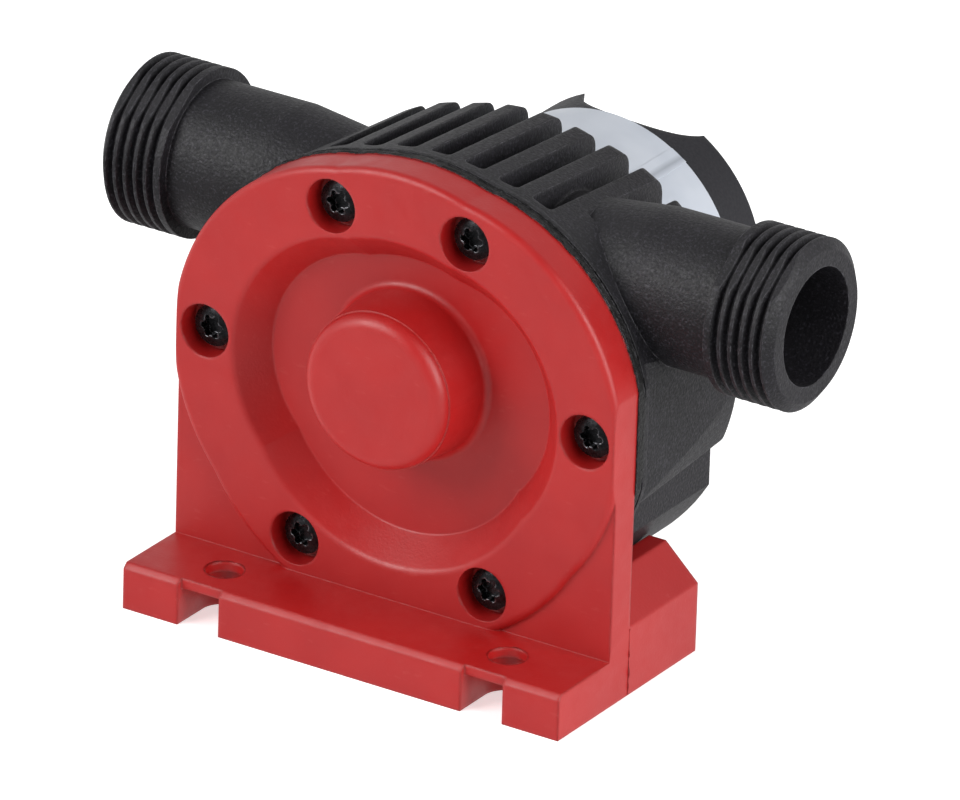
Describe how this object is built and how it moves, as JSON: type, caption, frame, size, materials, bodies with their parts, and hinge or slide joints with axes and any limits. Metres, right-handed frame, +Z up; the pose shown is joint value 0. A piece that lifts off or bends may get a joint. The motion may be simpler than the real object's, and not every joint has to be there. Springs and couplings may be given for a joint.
{
  "type": "drill pump",
  "caption": "Small self-priming impeller pump with threaded hose ports, a clamp-down foot and a shaft that a power drill turns.",
  "frame": {"origin": "middle of the foot's underside, below the cover's front face", "axes": "+X along the hose ports to the right port, +Y from the front cover along the drive shaft to its free end, +Z up"},
  "size_m": [0.1178, 0.1013, 0.076],
  "materials": {
    "red_cover_plastic": "satin moulded plastic",
    "black_screw_steel": "black finish, slightly glossy",
    "seal_rubber": "smooth rubber",
    "black_housing_plastic": "fine spark-eroded grain",
    "label_film": "plain printed film, left blank",
    "impeller_rubber": "moulded rubber",
    "insert_plastic": "plain moulded plastic",
    "shaft_steel": "ground",
    "bush_bronze": "sintered",
    "washer_steel": "stamped",
    "seal_case_steel": "pressed sheet",
    "spring_steel": "drawn wire",
    "bearing_steel": "ground",
    "cage_brass": "pressed sheet",
    "shield_steel": "pressed sheet",
    "clip_steel": "phosphated spring steel"
  },
  "bodies": {
    "housing": {"front_cover": "red_cover_plastic", "cover_screws": "black_screw_steel", "cover_seal": "seal_rubber", "pump_housing": "black_housing_plastic", "neck_label": "label_film", "front_bush": "bush_bronze", "front_thrust_washer": "washer_steel", "rear_thrust_washer": "washer_steel", "shaft_seal": "seal_rubber", "seal_case": "seal_case_steel", "garter_spring": "spring_steel", "bearing_outer_race": "bearing_steel", "bearing_shields": "shield_steel", "seat_circlip": "clip_steel"},
    "rotor": {"drive_shaft": "shaft_steel", "drive_pin": "shaft_steel", "impeller": "impeller_rubber", "impeller_insert": "insert_plastic", "slinger_ring": "seal_rubber", "bearing_inner_race": "bearing_steel", "shaft_circlip": "clip_steel"},
    "ball_train": {"bearing_balls": "bearing_steel", "bearing_cage": "cage_brass"}
  },
  "joints": [
    {"name": "rotor_spin", "type": "hinge", "parent": "housing", "child": "rotor", "pos_m": [0, 0, 0.04269], "axis": [0, 1, 0], "continuous": true, "deforming": ["impeller"]},
    {"name": "ball_train_spin", "type": "hinge", "parent": "housing", "child": "ball_train", "pos_m": [0, 0, 0.04269], "axis": [0, 1, 0], "continuous": true}
  ],
  "couplings": [
    {"joint": "ball_train_spin", "follows": "rotor_spin", "ratio": 0.368}
  ]
}
